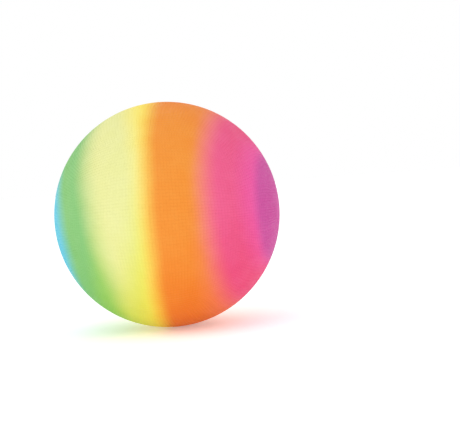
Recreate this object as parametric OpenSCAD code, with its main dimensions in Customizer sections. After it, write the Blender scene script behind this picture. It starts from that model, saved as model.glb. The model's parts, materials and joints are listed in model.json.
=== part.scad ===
// Inflatable play ball: a seamless moulded vinyl skin with a needle valve.
// The origin is the ball's centre. The painted rings lie round the X axis,
// and the valve is at the -X pole. Millimetres.

/* [Ball] */
// Outside diameter of the inflated ball
ball_d = 228.6; // [150:0.1:400]
// Thickness of the inflated skin
skin_wall = 0.9; // [0.5:0.05:2.5]

/* [Valve core] */
// Diameter of the core's head
head_d = 8.4; // [7.6:0.1:12]
// Thickness of the head
head_t = 1.8; // [1:0.1:3]
// Depth of the head's face below the ball's surface
head_recess = 0.4; // [0.2:0.1:1]
// Diameter of the core's stem
stem_d = 5.6; // [4.6:0.1:6.8]
// How far the bulb stands out past the seat's bore, all round
bulb_grip = 0.8; // [0.4:0.1:1.5]
// Length of the bulb that holds the core in
bulb_l = 2.6; // [1.5:0.1:5]
// Length of the flat lips past the bulb
lips_l = 5; // [3:0.1:10]
// Thickness of the closed lips at their tip
lips_t = 1.6; // [1:0.1:3]
// Clearance all round the core in its seat
core_gap = 0.1; // [0.05:0.05:0.3]

/* [Needle channel] */
// Diameter of the channel that takes the inflating needle
channel_d = 2.2; // [1.8:0.1:3]
// How far the funnel's mouth spreads past the channel, all round
funnel_flare = 0.7; // [0.3:0.1:1.2]
// Depth of the funnel
funnel_h = 1.2; // [0.5:0.1:2]
// Gap of the slit that the needle opens between the lips
slit_gap = 0.1; // [0.05:0.05:0.3]

/* [Valve seat] */
// Width of the sloping edge round the head's recess
recess_chamfer = 0.5; // [0.2:0.1:1]
// Width of the seat's face round that edge
neck_wall = 3.2; // [2:0.1:5]
// How far the flange reaches past the neck, all round
flange_reach = 5; // [3:0.5:8]
// Thickness of the flange at its rim
flange_rim = 0.7; // [0.4:0.1:2]
// Wall of the socket tube
socket_wall = 2.6; // [1.5:0.1:3]
// Depth of the socket's inner end below the ball's surface
socket_depth = 15; // [12:0.5:25]

/* [Pad under the valve] */
// How far the thicker pad reaches past the flange, all round
pad_reach = 5; // [2:0.5:10]
// Extra thickness of the pad, inside the skin
pad_rise = 0.8; // [0.4:0.05:2]

/* [Hidden] */

$fn = 96;
// Facets round the ball, fine enough for the small parts that lie on it
ball_fn = 360;
// Extra reach that lets a cut pass right through a face
cut = 1;

ball_r = ball_d / 2;
inner_r = ball_r - skin_wall;
pad_inner_r = inner_r - pad_rise;

// Diameters on the valve's axis
recess_d = head_d + 2 * core_gap;
bore_d = stem_d + 2 * core_gap;
bulb_d = bore_d + 2 * bulb_grip;
funnel_d = channel_d + 2 * funnel_flare;
chamfer_d = recess_d + 2 * recess_chamfer;
neck_d = chamfer_d + 2 * neck_wall;
flange_d = neck_d + 2 * flange_reach;
pad_d = flange_d + 2 * pad_reach;
socket_d = bore_d + 2 * socket_wall;

// Depths below the ball's surface on the valve's axis
head_floor = head_recess + head_t;
funnel_end = head_recess + funnel_h;
bulb_end = socket_depth + bulb_l;
lips_end = bulb_end + lips_l;
flange_back = depth_on_sphere(pad_inner_r, flange_d / 2) + flange_rim;

// Depth below the ball's surface at which a sphere of radius r, centred on
// the ball, is met by a line that runs beside the valve's axis at distance a.
function depth_on_sphere(r, a) = ball_r - sqrt(r * r - a * a);

// Sphere round the ball's centre.
module ball_sphere(r)
    sphere(r = r, $fn = ball_fn);

// Places a shape on the valve's axis: z = 0 is the ball's surface at the
// -X pole, and +z points to the ball's centre.
module at_valve()
    translate([-ball_r, 0, 0]) rotate([0, 90, 0]) children();

// Round bar on the valve's axis, between two depths.
module bar(d, from, to)
    translate([0, 0, from]) cylinder(d = d, h = to - from);

// Round taper on the valve's axis, between two depths.
module taper(d_from, d_to, from, to)
    translate([0, 0, from]) cylinder(d1 = d_from, d2 = d_to, h = to - from);

// Air space inside the skin, which leaves the pad standing under the valve.
module air_space() {
    ball_sphere(pad_inner_r);
    difference() {
        ball_sphere(inner_r);
        at_valve() bar(pad_d, -cut, ball_r);
    }
}

// One hollow moulding with a round hole for the valve seat.
module ball_skin()
    color("orange")
    difference() {
        ball_sphere(ball_r);
        air_space();
        at_valve() bar(neck_d, -cut, ball_r);
    }

// Stepped hole through the seat: the head's recess and the stem's bore.
module core_hole() {
    bar(recess_d, -cut, head_floor);
    taper(chamfer_d, recess_d, 0, recess_chamfer);
    bar(bore_d, -cut, socket_depth + cut);
}

// Soft socket moulded into the skin: neck, flange and tube in one piece.
module valve_seat()
    color("ivory")
    difference() {
        union() {
            intersection() {
                ball_sphere(ball_r);
                at_valve() bar(neck_d, -cut, flange_back);
            }
            intersection() {
                ball_sphere(pad_inner_r);
                at_valve() bar(flange_d, 0, flange_back);
            }
            at_valve() bar(socket_d, head_floor, socket_depth);
        }
        at_valve() core_hole();
    }

// Side view of the lips: as thick as the stem at the bulb, thin at the tip.
module lips_profile()
    polygon([
        [-stem_d / 2, bulb_end], [stem_d / 2, bulb_end],
        [lips_t / 2, lips_end], [-lips_t / 2, lips_end]
    ]);

// Flat duckbill lips, cut from a round bar by their side view.
module lips()
    intersection() {
        bar(stem_d, bulb_end, lips_end);
        rotate([90, 0, 0])
            linear_extrude(stem_d + cut, center = true) lips_profile();
    }

// Funnel and straight channel, and the slit that the needle pushes open.
module needle_way() {
    slit_start = bulb_end - slit_gap;
    taper(funnel_d, channel_d, head_recess, funnel_end);
    bar(channel_d, funnel_end, bulb_end);
    translate([-slit_gap / 2, -channel_d / 2, slit_start])
        cube([slit_gap, channel_d, lips_end - slit_start + cut]);
}

// Self-closing rubber plug, held by its head outside and its bulb inside.
module valve_core()
    color("dimgray")
    at_valve()
    difference() {
        union() {
            bar(head_d, head_recess, head_floor);
            bar(stem_d, head_recess, bulb_end);
            taper(bulb_d, stem_d, socket_depth, bulb_end);
            lips();
        }
        needle_way();
    }

ball_skin();
valve_seat();
valve_core();
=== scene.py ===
import json
import math

import bmesh
import bpy
import numpy as np
from mathutils import Matrix, Vector


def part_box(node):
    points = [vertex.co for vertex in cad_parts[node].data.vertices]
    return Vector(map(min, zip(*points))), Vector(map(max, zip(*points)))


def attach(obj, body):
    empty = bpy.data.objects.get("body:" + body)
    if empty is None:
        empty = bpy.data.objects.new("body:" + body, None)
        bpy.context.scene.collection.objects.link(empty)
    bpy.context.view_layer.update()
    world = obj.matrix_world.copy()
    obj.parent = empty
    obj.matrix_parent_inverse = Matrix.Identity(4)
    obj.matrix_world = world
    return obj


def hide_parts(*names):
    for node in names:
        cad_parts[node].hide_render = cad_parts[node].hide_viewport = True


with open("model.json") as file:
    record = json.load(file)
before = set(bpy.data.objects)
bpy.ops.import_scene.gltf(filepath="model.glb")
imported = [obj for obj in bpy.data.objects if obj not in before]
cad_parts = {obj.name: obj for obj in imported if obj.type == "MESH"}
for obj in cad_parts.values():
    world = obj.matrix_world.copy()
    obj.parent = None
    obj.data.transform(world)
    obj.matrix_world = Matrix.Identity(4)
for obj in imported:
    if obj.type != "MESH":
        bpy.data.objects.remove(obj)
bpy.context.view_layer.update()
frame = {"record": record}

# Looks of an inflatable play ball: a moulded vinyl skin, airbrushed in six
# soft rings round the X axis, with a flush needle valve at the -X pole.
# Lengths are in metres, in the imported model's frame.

MM = 0.001

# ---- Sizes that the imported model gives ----

skin_low, skin_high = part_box("ball_skin")
seat_low, seat_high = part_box("valve_seat")
core_low, core_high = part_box("valve_core")
needle_hole = next(m for m in frame["record"]["mounts"] if m["name"] == "needle_hole")

BALL_R = skin_high.z
NECK_R = math.sqrt(BALL_R ** 2 - skin_low.x ** 2)
FLANGE_R = seat_high.y
HEAD_R = core_high.y
CHANNEL_R = needle_hole["dims"]["r_mm"] * MM
# Depths below the ball's surface, on the valve's axis
HEAD_FACE = core_low.x + BALL_R
SOCKET_END = seat_high.x + BALL_R
LIPS_END = core_high.x + BALL_R
CHANNEL_MID = needle_hole["pos_m"][0] + BALL_R
CHANNEL_HALF = needle_hole["dims"]["length_mm"] * MM / 2
FUNNEL_END = CHANNEL_MID - CHANNEL_HALF
BULB_END = CHANNEL_MID + CHANNEL_HALF

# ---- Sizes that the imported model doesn't give ----

WALL = 0.9 * MM
PAD_RISE = 0.8 * MM
PAD_R = FLANGE_R + 5 * MM
HEAD_T = 1.8 * MM
FUNNEL_R = CHANNEL_R + 0.7 * MM
STEM_R = 2.8 * MM
BORE_R = STEM_R + 0.1 * MM
BULB_R = BORE_R + 0.8 * MM
RECESS_R = HEAD_R + 0.1 * MM
RECESS_CHAMFER = 0.5 * MM
SOCKET_R = BORE_R + 2.6 * MM
FLANGE_RIM = 0.7 * MM
LIPS_T = 1.6 * MM
SLIT_T = 0.1 * MM

# The moulded grid: square cells with fine grooves between them
CELLS_PER_SIDE = 54
GROOVE_DEPTH = 0.20 * MM
GROOVE_WIDTH = 0.55 * MM
# The bead that the mould's two halves leave in the groove where x is 0
BEAD_RISE = 0.10 * MM
BEAD_WIDTH = 0.30 * MM
# The low ridge moulded round the valve: its radius from the axis, width and height
RIDGE_R = NECK_R + 3.5 * MM
RIDGE_WIDTH = 1.4 * MM
RIDGE_RISE = 0.40 * MM
# The mould's round mark at the far pole, a shallow groove
MARK_R = 6 * MM
MARK_WIDTH = 1.2 * MM
MARK_RISE = -0.2 * MM
# Rings of cells that the plain disc at each pole takes the place of
DISC_CELLS = 6
# Ring of cells at which the grid is square again outside the round disc
SQUARE_CELLS = 17
# Rows of faces on the skin's smooth inner wall, from pole to pole
INSIDE_ROWS = 46

inner_r = BALL_R - WALL
pad_inner_r = inner_r - PAD_RISE
floor_r = BALL_R - GROOVE_DEPTH
head_floor = HEAD_FACE + HEAD_T
# Half of the angle that one side of the cube spans, seen from the centre
half_side = math.pi / 4
cell_angle = 2 * half_side / CELLS_PER_SIDE
disc_angle = DISC_CELLS * cell_angle


# ---- Node trees ----

class Tree:
    """Short calls that add nodes to one node tree and link what they are given."""

    def __init__(self, tree):
        self.tree = tree

    def add(self, kind, inputs=(), **settings):
        """Adds a node, sets its properties, then sets or links its inputs."""
        node = self.tree.nodes.new(kind)
        for name, value in settings.items():
            setattr(node, name, value)
        for name, value in dict(inputs).items():
            self.plug(node.inputs[name], value)
        return node

    def plug(self, socket, value):
        """Links an output to the socket, or sets the socket's own value."""
        if isinstance(value, bpy.types.NodeSocket):
            self.tree.links.new(value, socket)
        else:
            socket.default_value = value

    def math(self, operation, *values):
        node = self.add("ShaderNodeMath", operation=operation)
        for socket, value in zip(node.inputs, values):
            self.plug(socket, value)
        return node.outputs[0]

    def vector(self, operation, *values):
        node = self.add("ShaderNodeVectorMath", operation=operation)
        for socket, value in zip(node.inputs, values):
            self.plug(socket, value)
        gives_a_number = operation in ("DOT_PRODUCT", "LENGTH")
        return node.outputs["Value" if gives_a_number else "Vector"]

    def scale(self, vector, factor):
        node = self.add("ShaderNodeVectorMath", operation="SCALE")
        self.plug(node.inputs[0], vector)
        self.plug(node.inputs["Scale"], factor)
        return node.outputs[0]

    def ramp(self, value, start, end, low=0.0, high=1.0):
        """Smooth step from low at start to high at end."""
        node = self.add("ShaderNodeMapRange", interpolation_type="SMOOTHSTEP")
        for socket, given in zip(node.inputs, (value, start, end, low, high)):
            self.plug(socket, given)
        return node.outputs[0]

    # A Mix node has a pair of inputs for each type, so they are told apart by number

    def mix_vector(self, factor, a, b):
        node = self.add("ShaderNodeMix", {0: factor, 4: a, 5: b}, data_type="VECTOR")
        return node.outputs[1]

    def mix_colour(self, factor, a, b):
        node = self.add("ShaderNodeMix", {0: factor, 6: a, 7: b}, data_type="RGBA")
        return node.outputs[2]

    def noise(self, vector, scale, detail=2.0, roughness=0.5):
        node = self.add("ShaderNodeTexNoise", {
            "Vector": vector, "Scale": scale, "Detail": detail, "Roughness": roughness})
        return node.outputs[0]

    def place(self):
        """Where a point lies on its piece, in metres."""
        return self.add("ShaderNodeTexCoord").outputs["Object"]

    def roughen(self, shader, height, strength):
        """Bumps the shader's normal by a fine height."""
        bump = self.add("ShaderNodeBump", {
            "Strength": strength, "Distance": 0.05 * MM, "Height": height})
        self.plug(shader["Normal"], bump.outputs[0])


def new_group(name, kind, inputs, outputs):
    """Makes a node group with named sockets: (name, type, default) for each input."""
    group = bpy.data.node_groups.new(name, kind)
    for label, socket_type, default in inputs:
        socket = group.interface.new_socket(label, in_out="INPUT", socket_type=socket_type)
        if default is not None:
            socket.default_value = default
    for label, socket_type in outputs:
        group.interface.new_socket(label, in_out="OUTPUT", socket_type=socket_type)
    return group, Tree(group)


# ---- The skin's moulded grid, in Geometry Nodes ----

def moulded_grid_group():
    """A sphere of square cells with grooves between, open at a round disc on each pole.

    A cube's grid is blown up to a sphere so that cells stay nearly equal. Round
    each X pole the squares turn into rings, so that the plain disc has a round
    edge. Each cell is then raised from the groove's floor and drawn in.
    """
    group, t = new_group("Moulded grid", "GeometryNodeTree", [
        ("Radius", "NodeSocketFloat", BALL_R),
        ("Cells", "NodeSocketInt", CELLS_PER_SIDE),
        ("Disc cells", "NodeSocketFloat", DISC_CELLS),
        ("Square cells", "NodeSocketFloat", SQUARE_CELLS),
        ("Groove depth", "NodeSocketFloat", GROOVE_DEPTH),
        ("Cell share", "NodeSocketFloat", 1 - GROOVE_WIDTH / (cell_angle * BALL_R)),
        ("Material", "NodeSocketMaterial", None),
    ], [("Geometry", "NodeSocketGeometry")])
    given = t.add("NodeGroupInput").outputs
    place = t.add("GeometryNodeInputPosition").outputs[0]

    points = t.math("ADD", given["Cells"], 1)
    cube = t.add("GeometryNodeMeshCube", {
        "Size": (2, 2, 2), "Vertices X": points, "Vertices Y": points, "Vertices Z": points})

    # How far a point lies from the X axis on its cube face, from 0 to 1
    axes = t.add("ShaderNodeSeparateXYZ", {0: place}).outputs
    flat = t.vector("MULTIPLY", place, (0, 1, 1))
    far = t.math("MAXIMUM", t.math("ABSOLUTE", axes[1]), t.math("ABSOLUTE", axes[2]))
    per_cell = t.math("DIVIDE", 2, given["Cells"])
    disc_edge = t.math("MULTIPLY", given["Disc cells"], per_cell)
    square_edge = t.math("MULTIPLY", given["Square cells"], per_cell)
    opened = t.add("GeometryNodeDeleteGeometry", {
        "Geometry": cube.outputs[0], "Selection": t.math("LESS_THAN", far, disc_edge)},
        domain="FACE")

    # Squares in equal angles, and rings of the same pitch round the X axis
    squares = t.vector("NORMALIZE", t.vector("TANGENT", t.scale(place, half_side)))
    turn = t.math("MULTIPLY", far, half_side)
    round_way = t.vector("NORMALIZE", t.vector(
        "TANGENT", t.scale(flat, t.math("DIVIDE", half_side, far))))
    along = t.add("ShaderNodeCombineXYZ", {
        0: t.math("MULTIPLY", t.math("SIGN", axes[0]), t.math("COSINE", turn))}).outputs[0]
    rings = t.vector("ADD", along, t.scale(round_way, t.math("SINE", turn)))
    roundness = t.ramp(far, disc_edge, square_edge, 1, 0)
    way = t.vector("NORMALIZE", t.mix_vector(roundness, squares, rings))

    floor = t.math("SUBTRACT", given["Radius"], given["Groove depth"])
    sphere = t.add("GeometryNodeSetPosition", {
        "Geometry": opened.outputs[0], "Position": t.scale(way, floor)})
    raised = t.add("GeometryNodeExtrudeMesh", {
        "Mesh": sphere.outputs[0], "Offset Scale": given["Groove depth"],
        "Individual": True}, mode="FACES")
    drawn_in = t.add("GeometryNodeScaleElements", {
        "Geometry": raised.outputs["Mesh"], "Selection": raised.outputs["Top"],
        "Scale": given["Cell share"]}, domain="FACE")
    out = t.vector("NORMALIZE", place)
    tops = t.add("GeometryNodeSetPosition", {
        "Geometry": drawn_in.outputs[0], "Selection": raised.outputs["Top"],
        "Position": t.scale(out, given["Radius"])})

    smooth = t.add("GeometryNodeSetShadeSmooth", {"Geometry": tops.outputs[0]})
    real = t.add("GeometryNodeRealizeInstances", {"Geometry": smooth.outputs[0]})
    painted = t.add("GeometryNodeSetMaterial", {
        "Geometry": real.outputs[0], "Material": given["Material"]})
    t.add("NodeGroupOutput", {0: painted.outputs[0]})
    return group


def grown_mesh(group, values):
    """Runs a Geometry Nodes group on an empty object and returns the mesh it makes."""
    empty = bpy.data.meshes.new("empty")
    grower = bpy.data.objects.new("grower", empty)
    bpy.context.scene.collection.objects.link(grower)
    modifier = grower.modifiers.new("Grow", "NODES")
    modifier.node_group = group
    for socket in group.interface.items_tree:
        if socket.in_out == "INPUT" and socket.name in values:
            modifier[socket.identifier] = values[socket.name]
    evaluated = grower.evaluated_get(bpy.context.evaluated_depsgraph_get())
    mesh = bpy.data.meshes.new_from_object(evaluated)
    grower.modifiers.remove(modifier)
    bpy.data.objects.remove(grower)
    bpy.data.meshes.remove(empty)
    return mesh


# ---- Round profiles ----

def on_sphere(sphere_r, r, side):
    """The (x, r) point of a sphere at distance r from the X axis, on one side of the ball."""
    return side * math.sqrt(sphere_r ** 2 - r ** 2), r


def along_sphere(sphere_r, from_angle, to_angle, steps):
    """Points (x, r) along a sphere, with angles from the -X pole in radians."""
    angles = np.linspace(from_angle, to_angle, steps + 1)
    return [(-sphere_r * math.cos(a), sphere_r * math.sin(a)) for a in angles]


def rounded(points, radius, closed=False):
    """Rounds the corners of an (x, r) outline, and by less where a side is short."""
    steps = 4
    nearly_straight = math.radians(170)
    most_of_a_side = 0.45
    count = len(points)
    result = []
    for i, corner in enumerate(points):
        if not closed and i in (0, count - 1):
            result.append(corner)
            continue
        here = Vector(corner)
        before = Vector(points[i - 1]) - here
        after = Vector(points[(i + 1) % count]) - here
        angle = before.angle(after)
        if angle > nearly_straight:
            result.append(corner)
            continue
        shortest = min(before.length, after.length)
        reach = min(radius / math.tan(angle / 2), most_of_a_side * shortest)
        start = here + before.normalized() * reach
        end = here + after.normalized() * reach
        for k in range(steps + 1):
            s = k / steps
            result.append(tuple((1 - s) ** 2 * start + 2 * s * (1 - s) * here + s ** 2 * end))
    return result


def ring_of(bm, x, r, turns, z_limit=None):
    """Adds a ring of points round the X axis, cut flat at z_limit above and below."""
    limit = z_limit or r
    ring = []
    for turn in turns:
        z = r * math.sin(turn)
        ring.append(bm.verts.new((x, r * math.cos(turn), max(-limit, min(limit, z)))))
    return ring


def join_rings(bm, a, b):
    """Adds a smooth band of faces between two rings of as many points."""
    count = len(a)
    for i in range(count):
        j = (i + 1) % count
        bm.faces.new((a[i], a[j], b[j], b[i])).smooth = True


def close_ring(bm, ring, x):
    """Closes a ring with a fan of faces to a point on the X axis."""
    tip = bm.verts.new((x, 0, 0))
    count = len(ring)
    for i in range(count):
        bm.faces.new((ring[i], ring[(i + 1) % count], tip)).smooth = True


def make_piece(name, bm, material):
    """Turns a finished bmesh into a piece with outward faces and one material."""
    bmesh.ops.recalc_face_normals(bm, faces=bm.faces)
    mesh = bpy.data.meshes.new(name)
    bm.to_mesh(mesh)
    bm.free()
    mesh.materials.append(material)
    piece = bpy.data.objects.new(name, mesh)
    bpy.context.scene.collection.objects.link(piece)
    return piece


# ---- The ball's skin ----

def pole_ring(bm, side):
    """The open ring round one pole, with a point added on each edge, in order."""
    edges = [e for e in bm.edges if e.is_boundary and e.verts[0].co.x * side > 0]
    bmesh.ops.subdivide_edges(bm, edges=edges, cuts=1)
    ring = {v for e in bm.edges if e.is_boundary for v in e.verts if v.co.x * side > 0}
    x, r = on_sphere(floor_r, floor_r * math.sin(disc_angle), side)
    for v in ring:
        v.co = Vector((x, *(Vector(v.co.yz).normalized() * r)))
    return sorted(ring, key=lambda v: math.atan2(v.co.z, v.co.y))


def extend(bm, ring, outline):
    """Carries a ring along an outline of (x, r) points and returns the last ring."""
    turns = [math.atan2(v.co.z, v.co.y) for v in ring]
    for x, r in outline:
        following = ring_of(bm, x, r, turns)
        join_rings(bm, ring, following)
        ring = following
    return ring


def disc_outline(side, to_r):
    """The plain disc at a pole: its raised edge, then the ball's surface in to to_r."""
    disc_r = BALL_R * math.sin(disc_angle)
    edge = 0.5 * MM
    rows = 5
    return [on_sphere(BALL_R, r, side) for r in np.linspace(disc_r - edge, to_r, rows)]


def moulded_ring(side, r, width, rise):
    """A rounded ridge, or a groove if its rise is below 0, round a pole at distance r."""
    steps = 6
    points = []
    for k in range(steps + 1):
        s = k / steps
        here = r + width / 2 - width * s
        points.append(on_sphere(BALL_R + rise * math.sin(math.pi * s), here, side))
    return points


def valve_side_outline():
    """From the plain disc, down the valve's hole and along the inside to the far pole."""
    hole_edge = 1.2 * MM
    corner = 0.3 * MM
    outside = disc_outline(-1, RIDGE_R + RIDGE_WIDTH)
    outside += moulded_ring(-1, RIDGE_R, RIDGE_WIDTH, RIDGE_RISE)
    hole = rounded([
        on_sphere(BALL_R, NECK_R + hole_edge, -1),
        on_sphere(BALL_R, NECK_R, -1),
        on_sphere(pad_inner_r, NECK_R, -1),
        on_sphere(pad_inner_r, PAD_R, -1),
        on_sphere(inner_r, PAD_R + PAD_RISE, -1),
        on_sphere(inner_r, PAD_R + 3 * PAD_RISE, -1),
    ], corner)
    start = math.asin((PAD_R + 4 * PAD_RISE) / inner_r)
    last_ring = math.pi - math.radians(4)
    inside = along_sphere(inner_r, start, last_ring, INSIDE_ROWS)
    return outside + hole + inside


def far_side_outline():
    """The plain disc at the far pole, with the mould's round mark in its middle."""
    rows_within = (4 * MM, 2 * MM)
    outline = disc_outline(1, MARK_R + MARK_WIDTH)
    outline += moulded_ring(1, MARK_R, MARK_WIDTH, MARK_RISE)
    outline += [on_sphere(BALL_R, r, 1) for r in rows_within]
    return outline


def add_parting_line(bm):
    """The fine bead round the middle, a little uneven where its flash was trimmed."""
    half = BEAD_WIDTH / 2
    crest = half / 2
    foot = BALL_R - 1.2 * GROOVE_DEPTH
    short_waves, long_waves = 31, 7
    cells_round = 4 * CELLS_PER_SIDE
    count = 2 * cells_round
    turns = [2 * math.pi * k / count for k in range(count)]
    rings = []
    for x, raised in ((-half, False), (-crest, True), (crest, True), (half, False)):
        ring = []
        for turn in turns:
            wave = math.sin(long_waves * turn) * math.sin(short_waves * turn)
            uneven = 0.75 + 0.25 * wave
            r = BALL_R + BEAD_RISE * uneven if raised else foot
            ring.append(bm.verts.new((x, r * math.cos(turn), r * math.sin(turn))))
        rings.append(ring)
    for a, b in zip(rings, rings[1:] + rings[:1]):
        join_rings(bm, a, b)


def lay_out_skin(mesh):
    """Gives the skin a map of its own: six squares outside and one strip inside."""
    corner_vertex = np.empty(len(mesh.loops), dtype=np.int32)
    mesh.loops.foreach_get("vertex_index", corner_vertex)
    places = np.empty(len(mesh.vertices) * 3)
    mesh.vertices.foreach_get("co", places)
    places = places.reshape(-1, 3)
    centres = np.empty(len(mesh.polygons) * 3)
    mesh.polygons.foreach_get("center", centres)
    centres = centres.reshape(-1, 3)
    sizes = np.empty(len(mesh.polygons), dtype=np.int32)
    mesh.polygons.foreach_get("loop_total", sizes)

    face = np.repeat(np.arange(len(sizes)), sizes)
    centre = centres[face]
    place = places[corner_vertex]
    strip_h, square_share, strip_share, margin = 0.16, 0.97, 0.98, 0.005

    # Outside: the cube face that a cell came from, as a square in a 3 by 2 table
    axis = np.abs(centre).argmax(axis=1)
    row = np.arange(len(face))
    deep = centre[row, axis]
    u = np.arctan(place[row, (axis + 1) % 3] / np.abs(place[row, axis])) / half_side
    v = np.arctan(place[row, (axis + 2) % 3] / np.abs(place[row, axis])) / half_side
    u = (axis + 0.5 + 0.5 * square_share * u) / 3
    v = ((deep > 0) + 0.5 + 0.5 * square_share * v) / 2 * (1 - strip_h) + strip_h

    # Inside: the turn round the X axis along the strip, and x across it
    inside = np.linalg.norm(centre, axis=1) < BALL_R - WALL / 2
    turn = np.arctan2(place[:, 2], place[:, 1])
    middle = np.arctan2(centre[:, 2], centre[:, 1])
    turn += 2 * math.pi * np.round((middle - turn) / (2 * math.pi))
    across = np.arccos(np.clip(place[:, 0] / BALL_R, -1, 1)) / math.pi
    u = np.where(inside, 0.5 + 0.5 * strip_share * turn / math.pi, u)
    v = np.where(inside, margin + (strip_h - 3 * margin) * across, v)

    layer = mesh.uv_layers.new(name="OFBake")
    layer.data.foreach_set("uv", np.stack([u, v], axis=1).ravel())


def make_skin(material):
    """The hollow skin: the grid, and at each pole the plain disc and what is past it."""
    mesh = grown_mesh(moulded_grid_group(), {"Material": material})
    bm = bmesh.new()
    bm.from_mesh(mesh)
    bpy.data.meshes.remove(mesh)
    close_ring(bm, extend(bm, pole_ring(bm, -1), valve_side_outline()), inner_r)
    close_ring(bm, extend(bm, pole_ring(bm, 1), far_side_outline()), BALL_R)
    add_parting_line(bm)
    skin = make_piece("moulded_skin", bm, material)
    lay_out_skin(skin.data)
    return skin


# ---- The valve ----

def loft(name, outline, material):
    """A closed piece from rings round the X axis: (depth, r) or (depth, r, z limit) each."""
    segments = 72
    bm = bmesh.new()
    turns = [2 * math.pi * k / segments for k in range(segments)]
    rings = []
    for point in outline:
        limit = point[2] if len(point) > 2 else None
        rings.append(ring_of(bm, point[0] - BALL_R, point[1], turns, limit))
    for a, b in zip(rings, rings[1:] + rings[:1]):
        join_rings(bm, a, b)
    return make_piece(name, bm, material)


def surface_depth(sphere_r, r):
    """Depth of a sphere below the ball's surface, at distance r from the valve's axis."""
    return BALL_R - math.sqrt(sphere_r ** 2 - r ** 2)


def make_seat(material):
    """The soft socket: bore, recess, face with a fine ring, flange and tube."""
    ring_r, ring_w, ring_d = 6.6 * MM, 0.5 * MM, 0.15 * MM
    corner = 0.35 * MM
    flange_back = surface_depth(pad_inner_r, FLANGE_R) + FLANGE_RIM
    chamfer_r = RECESS_R + RECESS_CHAMFER
    outline = rounded([
        (SOCKET_END, BORE_R),
        (head_floor, BORE_R),
        (head_floor, RECESS_R),
        (RECESS_CHAMFER, RECESS_R),
        (surface_depth(BALL_R, chamfer_r), chamfer_r),
        (surface_depth(BALL_R, ring_r - ring_w), ring_r - ring_w),
        (surface_depth(BALL_R, ring_r) + ring_d, ring_r),
        (surface_depth(BALL_R, ring_r + ring_w), ring_r + ring_w),
        (surface_depth(BALL_R, NECK_R), NECK_R),
        (surface_depth(pad_inner_r, NECK_R), NECK_R),
        (surface_depth(pad_inner_r, FLANGE_R), FLANGE_R),
        (flange_back, FLANGE_R),
        (flange_back, SOCKET_R),
        (SOCKET_END, SOCKET_R),
    ], corner, closed=True)
    return loft("soft_valve_seat", outline, material)


def make_core(material):
    """The rubber plug: head and funnel, stem, bulb, and lips that close on a slit."""
    corner = 0.4 * MM
    collar = 0.5 * MM
    side_bevel, tip_bevel = 0.2 * MM, 0.15 * MM
    outside = rounded([
        (HEAD_FACE, FUNNEL_R),
        (HEAD_FACE, HEAD_R),
        (head_floor, HEAD_R),
        (head_floor, STEM_R),
        (SOCKET_END, STEM_R),
        (SOCKET_END, BULB_R),
        (BULB_END, STEM_R),
        (BULB_END + collar, STEM_R),
    ], corner)
    lips = []
    steps = 8
    for k in range(1, steps + 1):
        s = k / steps
        depth = BULB_END + s * (LIPS_END - BULB_END)
        lips.append((depth, STEM_R, STEM_R + s * (LIPS_T / 2 - STEM_R)))
    lips.append((LIPS_END, STEM_R - side_bevel, LIPS_T / 2 - tip_bevel))
    slit = [
        (LIPS_END, CHANNEL_R, SLIT_T / 2),
        (BULB_END + SLIT_T, CHANNEL_R, SLIT_T / 2),
        (BULB_END, CHANNEL_R),
    ]
    channel = [(FUNNEL_END, CHANNEL_R)]
    return loft("rubber_valve_core", outside + lips + slit + channel, material)


# ---- Finishes ----

def grain_group():
    """Fine grain of moulded vinyl and rubber, as a height and a slow mottle."""
    group, t = new_group("Moulded grain", "ShaderNodeTree", [
        ("Place", "NodeSocketVector", None),
        ("Grain size", "NodeSocketFloat", 0.25 * MM),
        ("Mottle size", "NodeSocketFloat", 20 * MM),
    ], [("Height", "NodeSocketFloat"), ("Mottle", "NodeSocketFloat")])
    given = t.add("NodeGroupInput").outputs
    fine_scale = t.math("DIVIDE", 1, given["Grain size"])
    slow_scale = t.math("DIVIDE", 1, given["Mottle size"])
    fine = t.noise(given["Place"], fine_scale, detail=3, roughness=0.6)
    slow = t.noise(given["Place"], slow_scale, detail=4, roughness=0.55)
    t.add("NodeGroupOutput", {"Height": fine, "Mottle": slow})
    return group


def sprayed_edge_group():
    """Mask of one airbrushed edge: 0 before it and 1 after it, along the X axis.

    Each colour is sprayed through a ring held against the ball. The ring sits a
    little crooked, and the spray fades out in a soft edge with a fine speckle.
    """
    group, t = new_group("Sprayed edge", "ShaderNodeTree", [
        ("Place", "NodeSocketVector", None),
        ("Edge", "NodeSocketFloat", 0.0),
        ("Softness", "NodeSocketFloat", 5.0),
        ("Tilt", "NodeSocketVector", None),
        ("Wobble", "NodeSocketFloat", 3.0),
        ("Speckle", "NodeSocketFloat", 0.3),
    ], [("Mask", "NodeSocketFloat")])
    given = t.add("NodeGroupInput").outputs
    way = t.vector("NORMALIZE", given["Place"])
    tilted = t.vector("ADD", (1, 0, 0), given["Tilt"])
    sine = t.vector("DOT_PRODUCT", way, tilted)
    latitude = t.math("DEGREES", t.math("ARCSINE", t.math(
        "MAXIMUM", -1, t.math("MINIMUM", 1, sine))))
    drift = t.math("SUBTRACT", t.noise(way, scale=2.2), 0.5)
    moved = t.math("MULTIPLY_ADD", drift, given["Wobble"], latitude)
    speckle = t.math("SUBTRACT", t.noise(way, scale=160, roughness=0.7), 0.5)
    spread = t.math("MULTIPLY", given["Softness"], given["Speckle"])
    moved = t.math("MULTIPLY_ADD", speckle, spread, moved)
    start = t.math("SUBTRACT", given["Edge"], given["Softness"])
    end = t.math("ADD", given["Edge"], given["Softness"])
    t.add("NodeGroupOutput", {"Mask": t.ramp(moved, start, end)})
    return group


def new_material(name, roughness, specular):
    """A Principled material, the calls for its tree, and the shader's sockets."""
    material = bpy.data.materials.new(name)
    material.use_nodes = True
    shader = material.node_tree.nodes["Principled BSDF"].inputs
    shader["Roughness"].default_value = roughness
    shader["Specular IOR Level"].default_value = specular
    return material, Tree(material.node_tree), shader


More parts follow.
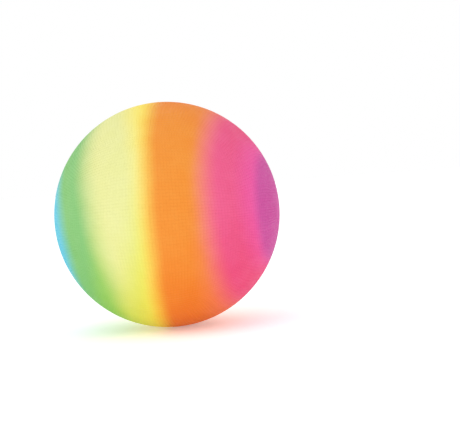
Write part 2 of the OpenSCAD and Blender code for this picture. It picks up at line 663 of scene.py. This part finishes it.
def linear(share):
    """One channel of a screen's colour, 0 to 1, as linear light."""
    return share / 12.92 if share < 0.04045 else ((share + 0.055) / 1.055) ** 2.4


def colour(red, green, blue):
    """A colour given as shown on a screen, 0 to 255, as linear light."""
    return (linear(red / 255), linear(green / 255), linear(blue / 255), 1)


# The sprayed colours, from the valve's pole to the far pole
SPRAY_BLUE = colour(80, 189, 216)
SPRAY_GREEN = colour(112, 181, 95)
SPRAY_LIME = colour(140, 194, 78)
SPRAY_PALE_YELLOW = colour(221, 222, 134)
SPRAY_LEMON = colour(216, 218, 82)
SPRAY_GOLD = colour(246, 221, 73)
SPRAY_ORANGE = colour(230, 122, 28)
SPRAY_SALMON = colour(233, 119, 76)
SPRAY_PINK = colour(226, 74, 122)
SPRAY_MAGENTA = colour(229, 79, 154)
SPRAY_PURPLE = colour(197, 73, 151)
# The skin's vinyl where nothing is sprayed on it, which is its inside
BARE_VINYL = colour(226, 222, 208)
# The seat's vinyl and the core's rubber, each mottled between two shades
SEAT_PALE = colour(232, 230, 220)
SEAT_DEEP = colour(214, 212, 200)
RUBBER_DARK = colour(46, 46, 50)
RUBBER_BLOOM = colour(70, 69, 72)
FLOOR_WHITE = colour(252, 252, 252)

# Each edge: latitude and softness in degrees, tilt of the ring that is sprayed
# through, and the colour on its +X side, which goes over the colours above it.
SPRAYED_EDGES = [
    (-57.5, 9, (0, -0.01, 0.11), SPRAY_GREEN),
    (-31, 9, (0, 0.04, -0.15), SPRAY_LIME),
    (-21, 10.5, (0, -0.18, 0.20), SPRAY_PALE_YELLOW),
    (-7.5, 10.5, (0, 0, -0.29), SPRAY_LEMON),
    (-14.5, 8.5, (0, 0.19, 0.02), SPRAY_GOLD),
    (-2.5, 6.5, (0, 0.02, 0), SPRAY_ORANGE),
    (25, 8, (0, -0.01, -0.03), SPRAY_SALMON),
    (34.5, 8, (0, -0.12, 0.03), SPRAY_PINK),
    (59, 10, (0, -0.15, 0.06), SPRAY_MAGENTA),
    (62.5, 4.5, (0, -0.08, 0.01), SPRAY_PURPLE),
]

# The side of the ball where the coat is thinnest and palest, partly a thinner coat and partly
# a painted highlight, and how much thinner it is there. The opposite side is deeper, partly
# as painted shade.
THIN_AND_HIGHLIGHT_SIDE = Vector((-0.26, -0.82, 0.42)).normalized()
THINNING_AND_HIGHLIGHT = 0.24
# How much deeper the coat's colour is made in the grooves, as painted shade in the grooves
GROOVE_SHADE = 0.04
# How much the coat's thickness changes with the mottle, and again with the grain
PATCHINESS = 0.02


def painted_vinyl(grain, sprayed_edge):
    """Airbrushed coats over the vinyl: thin coats are pale and thick ones deep, with a
    painted highlight on one side, and painted shade opposite it and in the grooves.
    """
    material, t, shader = new_material("painted vinyl", roughness=0.6, specular=0.25)
    place = t.place()
    paint = SPRAY_BLUE
    for edge, softness, tilt, after in SPRAYED_EDGES:
        mask = t.add("ShaderNodeGroup", node_tree=sprayed_edge)
        t.plug(mask.inputs["Place"], place)
        t.plug(mask.inputs["Edge"], edge)
        t.plug(mask.inputs["Softness"], softness)
        t.plug(mask.inputs["Tilt"], tilt)
        paint = t.mix_colour(mask.outputs["Mask"], paint, after)
    surface = t.add("ShaderNodeGroup", {"Place": place}, node_tree=grain)
    height = t.vector("LENGTH", place)
    # Painted highlight and shade: the coat is made thinner and paler towards the upper front
    # left and deeper away from it, partly as the spray's real unevenness and partly as
    # painted light.
    facing = t.vector("DOT_PRODUCT", t.vector("NORMALIZE", place), tuple(THIN_AND_HIGHLIGHT_SIDE))
    coat = t.ramp(facing, 0, 1, 1, 1 - THINNING_AND_HIGHLIGHT)
    # Painted shade in the grooves: the colour is made deeper where the surface lies below the
    # cells' tops.
    coat = t.math("ADD", coat, t.ramp(height, floor_r, BALL_R, GROOVE_SHADE, 0))
    for name in ("Mottle", "Height"):
        patchy = t.ramp(surface.outputs[name], 0.3, 0.7, -PATCHINESS, PATCHINESS)
        coat = t.math("ADD", coat, patchy)
    coated = t.add("ShaderNodeGamma", {"Color": paint, "Gamma": coat}).outputs[0]
    inside = t.ramp(height, BALL_R - WALL, BALL_R - WALL / 2, 1, 0)
    t.plug(shader["Base Color"], t.mix_colour(inside, coated, BARE_VINYL))
    t.plug(shader["Roughness"], t.ramp(
        surface.outputs["Mottle"], 0.2, 0.8, low=0.56, high=0.66))
    t.roughen(shader, surface.outputs["Height"], 0.3)
    return material


def plain_vinyl(grain):
    """Ivory vinyl of the valve seat, softly mottled."""
    material, t, shader = new_material("plain vinyl", roughness=0.4, specular=0.4)
    surface = t.add("ShaderNodeGroup", {
        "Place": t.place(), "Mottle size": 4 * MM}, node_tree=grain)
    t.plug(shader["Base Color"], t.mix_colour(
        surface.outputs["Mottle"], SEAT_PALE, SEAT_DEEP))
    t.plug(shader["Roughness"], t.ramp(
        surface.outputs["Mottle"], 0.2, 0.8, low=0.34, high=0.5))
    t.roughen(shader, surface.outputs["Height"], 0.4)
    return material


def valve_rubber(grain):
    """Dark, dull rubber of the valve core, with a bloom in patches."""
    material, t, shader = new_material("valve rubber", roughness=0.6, specular=0.35)
    surface = t.add("ShaderNodeGroup", {
        "Place": t.place(), "Mottle size": 2 * MM, "Grain size": 0.15 * MM}, node_tree=grain)
    t.plug(shader["Base Color"], t.mix_colour(
        surface.outputs["Mottle"], RUBBER_DARK, RUBBER_BLOOM))
    t.plug(shader["Roughness"], t.ramp(
        surface.outputs["Mottle"], 0.2, 0.8, low=0.5, high=0.72))
    t.roughen(shader, surface.outputs["Height"], 0.5)
    return material


# ---- Camera, stage and light ----

def place_camera():
    """A long lens that looks past the ball's right side, with the ball left of centre."""
    azimuth, elevation, roll = math.radians(8.4), math.radians(3), math.radians(4.4)
    lens, sensor = 110, 36
    # The ball's radius, and how far it lies from the middle, as shares of the view's width
    ball_share, ball_right, ball_up = 0.2447, -0.1363, -0.0074
    width = sensor / lens
    distance = BALL_R / math.sin(math.atan(ball_share * width))
    back = Vector((math.sin(azimuth) * math.cos(elevation),
                   -math.cos(azimuth) * math.cos(elevation), math.sin(elevation)))
    facing = (-back).to_track_quat("-Z", "Y") @ Matrix.Rotation(-roll, 3, "Z").to_quaternion()
    seen = Vector((ball_right * width, ball_up * width, -1))
    data = bpy.data.cameras.new("camera")
    data.lens, data.sensor_width = lens, sensor
    camera = bpy.data.objects.new("camera", data)
    bpy.context.scene.collection.objects.link(camera)
    camera.rotation_mode = "QUATERNION"
    camera.location = back * distance
    camera.rotation_quaternion = facing @ seen.rotation_difference(Vector((0, 0, -1)))
    bpy.context.scene.camera = camera


def place_floor():
    """A plain, nearly white floor that the ball rests on, with a faint glow of its own."""
    reach, glow = 4.0, 0.25
    bm = bmesh.new()
    bmesh.ops.create_grid(bm, x_segments=1, y_segments=1, size=reach)
    bmesh.ops.translate(bm, verts=bm.verts, vec=(0, 0, -BALL_R))
    material, t, shader = new_material("pale floor", roughness=0.9, specular=0.1)
    t.plug(shader["Base Color"], FLOOR_WHITE)
    t.plug(shader["Emission Color"], (1, 1, 1, 1))
    t.plug(shader["Emission Strength"], glow)
    make_piece("floor", bm, material)


def place_light(name, place, size, power):
    """A square soft box at a place, facing the ball."""
    data = bpy.data.lights.new(name, "AREA")
    data.size, data.energy = size, power
    light = bpy.data.objects.new(name, data)
    light.location = place
    light.rotation_mode = "QUATERNION"
    light.rotation_quaternion = (-Vector(place)).to_track_quat("-Z", "Y")
    bpy.context.scene.collection.objects.link(light)


def light_studio():
    """Flat, bright light from all round, and one soft box above the camera."""
    world = bpy.data.worlds.new("studio")
    world.use_nodes = True
    background = world.node_tree.nodes["Background"].inputs
    background["Color"].default_value = (1, 1, 1, 1)
    background["Strength"].default_value = 1.0
    bpy.context.scene.world = world
    place_light("key", place=(-0.3, -0.9, 1.5), size=1.0, power=3)
    bpy.context.scene.view_settings.view_transform = "Standard"


# ---- Build ----

place_camera()
place_floor()
light_studio()

grain = grain_group()
vinyl = painted_vinyl(grain, sprayed_edge_group())

skin = make_skin(vinyl)
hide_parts("ball_skin")
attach(skin, "root")

seat = make_seat(plain_vinyl(grain))
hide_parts("valve_seat")
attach(seat, "root")

core = make_core(valve_rubber(grain))
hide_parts("valve_core")
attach(core, "root")
